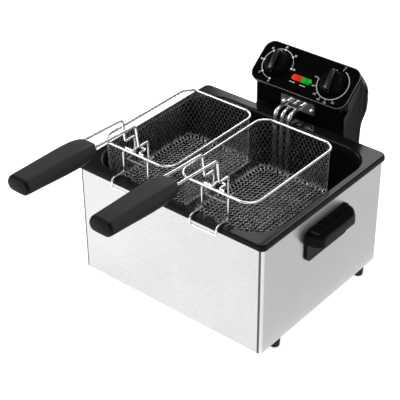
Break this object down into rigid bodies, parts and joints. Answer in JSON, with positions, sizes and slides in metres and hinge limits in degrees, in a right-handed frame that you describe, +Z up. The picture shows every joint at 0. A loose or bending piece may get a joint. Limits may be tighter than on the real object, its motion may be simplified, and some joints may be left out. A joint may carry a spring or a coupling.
{
  "type": "deep fryer",
  "caption": "Twin-basket electric deep fryer: steel casing, lift-out enamelled pot, lift-off control head with heating element, and two wire baskets with folding handles.",
  "frame": {"origin": "middle of the bounding box at the underside of the feet", "axes": "+X to the user's right, +Y from the basket handles at the front to the control head at the rear, +Z up"},
  "size_m": [0.331, 0.4972, 0.2684],
  "materials": {
    "brushed_steel": "brushed",
    "bright_steel": "polished",
    "black_enamel": "gloss enamel",
    "gloss_black": "gloss",
    "matte_black": "matte",
    "rubber": "matte",
    "red_lens": "gloss",
    "green_lens": "gloss",
    "brass": "polished",
    "beige_plastic": "matte",
    "lamp_glass": "clear"
  },
  "bodies": {
    "casing": {"casing_shell": "brushed_steel", "base_plate": "brushed_steel", "foot_front_left": "rubber", "foot_front_right": "rubber", "foot_rear_left": "rubber", "foot_rear_right": "rubber", "carry_handle_left": "matte_black", "carry_handle_right": "matte_black", "handle_backing_left": "brushed_steel", "handle_backing_right": "brushed_steel", "handle_screw_left_front": "bright_steel", "handle_screw_left_rear": "bright_steel", "handle_screw_right_front": "bright_steel", "handle_screw_right_rear": "bright_steel", "head_rail": "bright_steel"},
    "pot": {"oil_pot": "black_enamel"},
    "head": {"head_housing": "gloss_black", "head_back_cover": "gloss_black", "control_panel": "gloss_black", "indicator_lens_red": "red_lens", "indicator_lens_green": "green_lens", "pilot_lamp_red": "lamp_glass", "pilot_lamp_green": "lamp_glass", "timer_unit": "beige_plastic", "thermostat_unit": "beige_plastic", "element_bracket": "bright_steel", "bracket_screw_left": "bright_steel", "bracket_screw_right": "bright_steel", "heating_element": "bright_steel", "thermostat_bulb": "bright_steel", "element_clip": "bright_steel", "terminal_block": "beige_plastic", "thermal_cutout": "beige_plastic", "interlock_switch": "matte_black", "power_inlet": "matte_black", "inlet_pin_live": "brass", "inlet_pin_earth": "brass", "inlet_pin_neutral": "brass"},
    "timer_dial": {"timer_knob": "gloss_black", "timer_shaft": "bright_steel"},
    "thermostat_dial": {"thermostat_knob": "gloss_black", "thermostat_shaft": "bright_steel"},
    "reset": {"reset_button": "red_lens"},
    "basket_left": {"basket_left_rim_wire": "bright_steel", "basket_left_mesh_tub": "bright_steel", "basket_left_hook": "bright_steel", "basket_left_bracket": "bright_steel", "basket_left_pivot_loops": "bright_steel"},
    "handle_left": {"basket_left_handle_wire_left": "bright_steel", "basket_left_handle_wire_right": "bright_steel", "basket_left_grip": "matte_black"},
    "basket_right": {"basket_right_rim_wire": "bright_steel", "basket_right_mesh_tub": "bright_steel", "basket_right_hook": "bright_steel", "basket_right_bracket": "bright_steel", "basket_right_pivot_loops": "bright_steel"},
    "handle_right": {"basket_right_handle_wire_left": "bright_steel", "basket_right_handle_wire_right": "bright_steel", "basket_right_grip": "matte_black"}
  },
  "joints": [
    {"name": "pot_lift", "type": "slide", "parent": "casing", "child": "pot", "axis": [0, 0, 1], "range_m": [0, 0.13]},
    {"name": "head_lift", "type": "slide", "parent": "pot", "child": "head", "axis": [0, 0, 1], "range_m": [0, 0.15]},
    {"name": "basket_left_lift", "type": "slide", "parent": "head", "child": "basket_left", "axis": [0, 0, 1], "range_m": [0, 0.12]},
    {"name": "basket_right_lift", "type": "slide", "parent": "head", "child": "basket_right", "axis": [0, 0, 1], "range_m": [0, 0.12]},
    {"name": "handle_left_fold", "type": "hinge", "parent": "basket_left", "child": "handle_left", "pos_m": [-0.0662, -0.0466, 0.199], "axis": [-1, 0, 0], "range_deg": [0, 100]},
    {"name": "handle_right_fold", "type": "hinge", "parent": "basket_right", "child": "handle_right", "pos_m": [0.0588, -0.0466, 0.199], "axis": [-1, 0, 0], "range_deg": [0, 100]},
    {"name": "timer_turn", "type": "hinge", "parent": "head", "child": "timer_dial", "pos_m": [-0.0446, 0.203, 0.2323], "axis": [0, -0.6252, 0.7804], "range_deg": [-97, 173]},
    {"name": "thermostat_turn", "type": "hinge", "parent": "head", "child": "thermostat_dial", "pos_m": [0.0446, 0.203, 0.2323], "axis": [0, -0.6252, 0.7804], "range_deg": [-32, 188]},
    {"name": "reset_press", "type": "slide", "parent": "head", "child": "reset", "axis": [0, -1, 0], "range_m": [0, 0.002], "stiffness_N_per_m": 400, "springref_m": -0.001}
  ]
}
